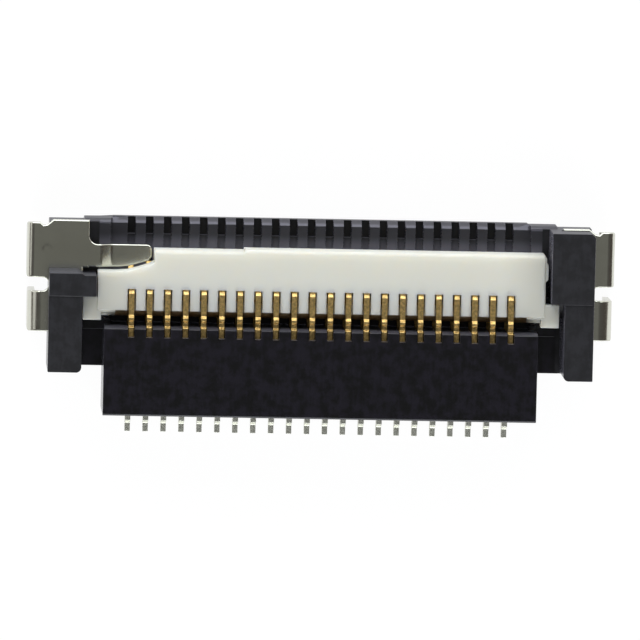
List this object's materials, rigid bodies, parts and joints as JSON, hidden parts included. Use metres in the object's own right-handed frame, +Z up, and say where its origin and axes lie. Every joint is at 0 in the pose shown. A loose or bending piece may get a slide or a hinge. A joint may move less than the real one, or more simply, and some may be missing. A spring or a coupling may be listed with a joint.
{
  "type": "fpc connector",
  "caption": "Right-angle surface-mount connector for a flat flexible cable, with a flip actuator, hooked blade contacts and two sheet hold-downs.",
  "frame": {"origin": "middle of the outline, on the board surface that the connector is soldered to", "axes": "+X along the row of contacts, towards the spring hold-down; -Y is the cable entry and +Y the solder tails; +Z up from the board"},
  "size_m": [0.0164, 0.006, 0.0024],
  "materials": {
    "black_moulding": "black glass-filled moulding, satin",
    "white_moulding": "ivory white moulding, satin",
    "tinned_sheet": "tin-plated sheet, bright cut edges",
    "gold_contact": "gold-plated blade with tinned tail"
  },
  "bodies": {
    "shell": {"housing": "black_moulding", "hold_down_spring": "tinned_sheet", "hold_down_plain": "tinned_sheet", "contact_01": "gold_contact", "contact_02": "gold_contact", "contact_03": "gold_contact", "contact_04": "gold_contact", "contact_05": "gold_contact", "contact_06": "gold_contact", "contact_07": "gold_contact", "contact_08": "gold_contact", "contact_09": "gold_contact", "contact_10": "gold_contact", "contact_11": "gold_contact", "contact_12": "gold_contact", "contact_13": "gold_contact", "contact_14": "gold_contact", "contact_15": "gold_contact", "contact_16": "gold_contact", "contact_17": "gold_contact", "contact_18": "gold_contact", "contact_19": "gold_contact", "contact_20": "gold_contact", "contact_21": "gold_contact", "contact_22": "gold_contact"},
    "flip": {"actuator": "white_moulding"}
  },
  "joints": [
    {"name": "actuator_flip", "type": "hinge", "parent": "shell", "child": "flip", "pos_m": [0, -0.00058, 0.00165], "axis": [-1, 0, 0], "range_deg": [0, 90]}
  ]
}
